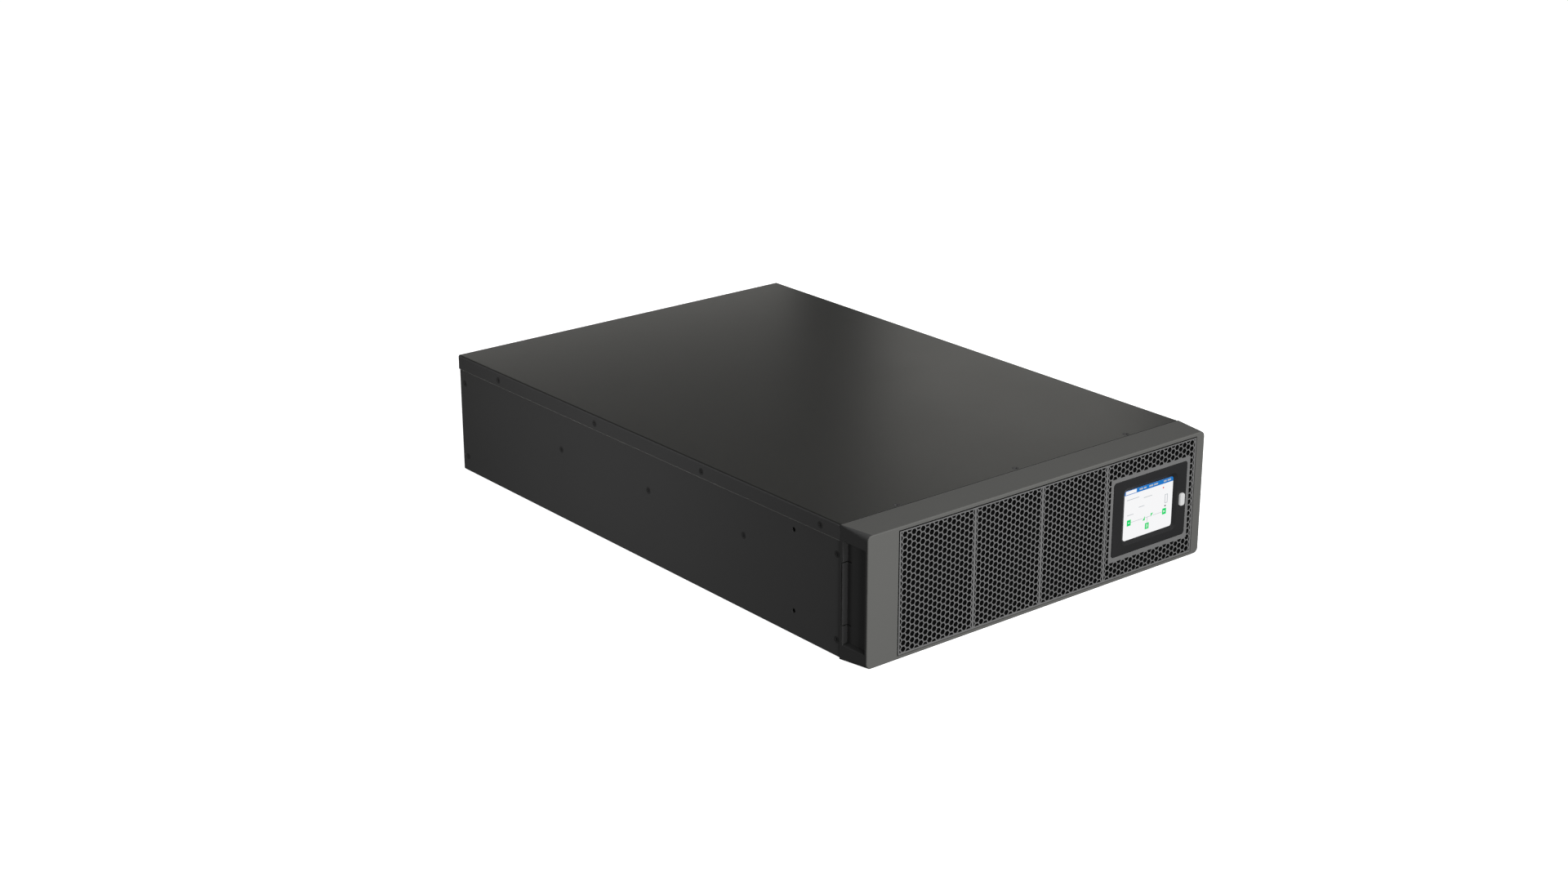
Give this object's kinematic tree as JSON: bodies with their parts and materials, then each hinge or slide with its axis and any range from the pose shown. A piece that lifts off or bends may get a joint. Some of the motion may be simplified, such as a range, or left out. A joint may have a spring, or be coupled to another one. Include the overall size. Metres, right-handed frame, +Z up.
{
  "type": "rack uninterruptible power supply",
  "caption": "Rack-mount power supply chassis with a honeycomb front bezel, a recessed display, a status lamp, side finger pockets and rear connectors.",
  "frame": {"origin": "under the middle of the whole unit, on the face it rests on", "axes": "+X to the right as seen from the front, +Y from the front to the rear, +Z up"},
  "size_m": [0.438, 0.6808, 0.13],
  "materials": {
    "cover_paint": "satin black powder coat, slightly glossy",
    "chassis_paint": "fine black powder coat",
    "bezel_plastic": "fine matt moulded dark grey",
    "grille_plastic": "fine matt moulded dark grey",
    "display_plastic": "charcoal, smooth",
    "screen_face": "lit colour panel",
    "lamp_plastic": "milky white light pipe",
    "circuit_board": "green solder mask",
    "black_screw": "black zinc",
    "bright_steel": "bright zinc",
    "fan_plastic": "black glass filled plastic",
    "breaker_plastic": "black moulded",
    "lever_plastic": "black moulded",
    "connector_plastic": "grey moulded",
    "terminal_plastic": "black moulded",
    "signal_plastic": "green moulded",
    "rubber_blank": "soft black",
    "sink_aluminium": "extruded",
    "transistor_case": "black epoxy",
    "capacitor_sleeve": "shrink sleeve",
    "ferrite": "sintered ferrite, coated",
    "copper": "enamelled copper wire",
    "film_box": "moulded box",
    "relay_case": "black moulded",
    "nylon": "natural nylon"
  },
  "bodies": {
    "chassis": {"base_tray": "chassis_paint", "top_cover": "cover_paint", "front_bulkhead": "chassis_paint", "rear_panel": "chassis_paint", "bezel": "bezel_plastic", "grille": "grille_plastic", "display_panel": "display_plastic", "screen": "screen_face", "status_lamp": "lamp_plastic", "display_board": "circuit_board", "ear_nuts": "bright_steel", "cover_screws": "black_screw", "side_screws": "black_screw", "top_screws": "black_screw", "fan_frame_left": "fan_plastic", "fan_frame_right": "fan_plastic", "input_breaker": "breaker_plastic", "battery_connector": "connector_plastic", "terminal_hood": "chassis_paint", "terminal_block": "terminal_plastic", "cable_plugs": "rubber_blank", "hood_screws": "bright_steel", "card_slot_cover": "chassis_paint", "slot_screws": "bright_steel", "card_guides": "nylon", "serial_port": "bright_steel", "usb_port": "bright_steel", "contact_block": "signal_plastic", "earth_stud": "bright_steel", "board_spacers": "bright_steel", "power_board": "circuit_board", "heatsink_left": "sink_aluminium", "heatsink_right": "sink_aluminium", "power_transistors": "transistor_case", "bus_capacitors": "capacitor_sleeve", "choke_cores": "ferrite", "choke_windings": "copper", "film_capacitors": "film_box", "power_relays": "relay_case", "upper_deck": "chassis_paint", "deck_spacers": "bright_steel", "control_board": "circuit_board", "charger_board": "circuit_board", "charger_transformer": "ferrite", "filter_spacers": "bright_steel", "filter_board": "circuit_board", "filter_choke": "ferrite"},
    "left_rotor": {"fan_rotor_left": "fan_plastic"},
    "right_rotor": {"fan_rotor_right": "fan_plastic"},
    "lever": {"breaker_lever": "lever_plastic"}
  },
  "joints": [
    {"name": "left_fan_spin", "type": "hinge", "parent": "chassis", "child": "left_rotor", "pos_m": [-0.1614, 0.313, 0.065], "axis": [0, 1, 0], "continuous": true},
    {"name": "right_fan_spin", "type": "hinge", "parent": "chassis", "child": "right_rotor", "pos_m": [-0.0677, 0.313, 0.065], "axis": [0, 1, 0], "continuous": true},
    {"name": "breaker_toggle", "type": "hinge", "parent": "chassis", "child": "lever", "pos_m": [0.004, 0.31975, 0.03882], "axis": [1, 0, 0], "range_deg": [0, 50]}
  ]
}
